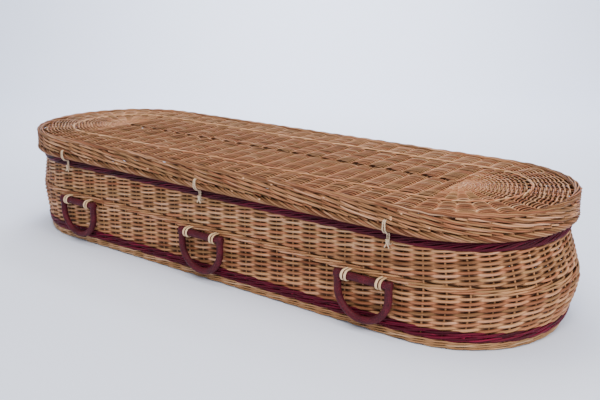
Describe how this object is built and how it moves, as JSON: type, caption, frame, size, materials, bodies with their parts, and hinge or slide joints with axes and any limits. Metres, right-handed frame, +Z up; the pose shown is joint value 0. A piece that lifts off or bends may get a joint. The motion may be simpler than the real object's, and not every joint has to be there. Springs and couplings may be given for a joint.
{
  "type": "wicker coffin",
  "caption": "Woven willow coffin with rounded ends, a lift-off woven lid, dyed borders, hinged D handles on cane lashings and cord ties.",
  "frame": {"origin": "middle of the underside, on the surface the coffin stands on", "axes": "+X along the length towards one rounded end, +Y across, -Y is the long side named front, +Z up"},
  "size_m": [1.9928, 0.6392, 0.3605],
  "materials": {
    "willow": "buff willow rods, satin, tan to reddish brown",
    "burgundy_willow": "dyed willow rods, satin burgundy",
    "lapping_cane": "pale split cane, satin",
    "tie_cord": "pale twisted cord, matt"
  },
  "bodies": {
    "coffin": {"coffin_body": "willow", "lower_band": "burgundy_willow", "mouth_border": "burgundy_willow", "lid": "willow", "lashing_front_1_left": "lapping_cane", "lashing_front_1_right": "lapping_cane", "lashing_front_2_left": "lapping_cane", "lashing_front_2_right": "lapping_cane", "lashing_front_3_left": "lapping_cane", "lashing_front_3_right": "lapping_cane", "lashing_back_1_left": "lapping_cane", "lashing_back_1_right": "lapping_cane", "lashing_back_2_left": "lapping_cane", "lashing_back_2_right": "lapping_cane", "lashing_back_3_left": "lapping_cane", "lashing_back_3_right": "lapping_cane", "tie_front_1": "tie_cord", "tie_front_2": "tie_cord", "tie_front_3": "tie_cord", "tie_back_1": "tie_cord", "tie_back_2": "tie_cord", "tie_back_3": "tie_cord"},
    "handle_front_1": {"handle_front_1": "burgundy_willow"},
    "handle_front_2": {"handle_front_2": "burgundy_willow"},
    "handle_front_3": {"handle_front_3": "burgundy_willow"},
    "handle_back_1": {"handle_back_1": "burgundy_willow"},
    "handle_back_2": {"handle_back_2": "burgundy_willow"},
    "handle_back_3": {"handle_back_3": "burgundy_willow"}
  },
  "joints": [
    {"name": "handle_front_1_swing", "type": "hinge", "parent": "coffin", "child": "handle_front_1", "pos_m": [-0.583, -0.3025, 0.145], "axis": [-1, 0, 0], "range_deg": [-2, 170]},
    {"name": "handle_front_2_swing", "type": "hinge", "parent": "coffin", "child": "handle_front_2", "pos_m": [-0.009, -0.3025, 0.145], "axis": [-1, 0, 0], "range_deg": [-2, 170]},
    {"name": "handle_front_3_swing", "type": "hinge", "parent": "coffin", "child": "handle_front_3", "pos_m": [0.565, -0.3025, 0.145], "axis": [-1, 0, 0], "range_deg": [-2, 170]},
    {"name": "handle_back_1_swing", "type": "hinge", "parent": "coffin", "child": "handle_back_1", "pos_m": [-0.583, 0.3025, 0.145], "axis": [1, 0, 0], "range_deg": [-2, 170]},
    {"name": "handle_back_2_swing", "type": "hinge", "parent": "coffin", "child": "handle_back_2", "pos_m": [-0.009, 0.3025, 0.145], "axis": [1, 0, 0], "range_deg": [-2, 170]},
    {"name": "handle_back_3_swing", "type": "hinge", "parent": "coffin", "child": "handle_back_3", "pos_m": [0.565, 0.3025, 0.145], "axis": [1, 0, 0], "range_deg": [-2, 170]}
  ]
}
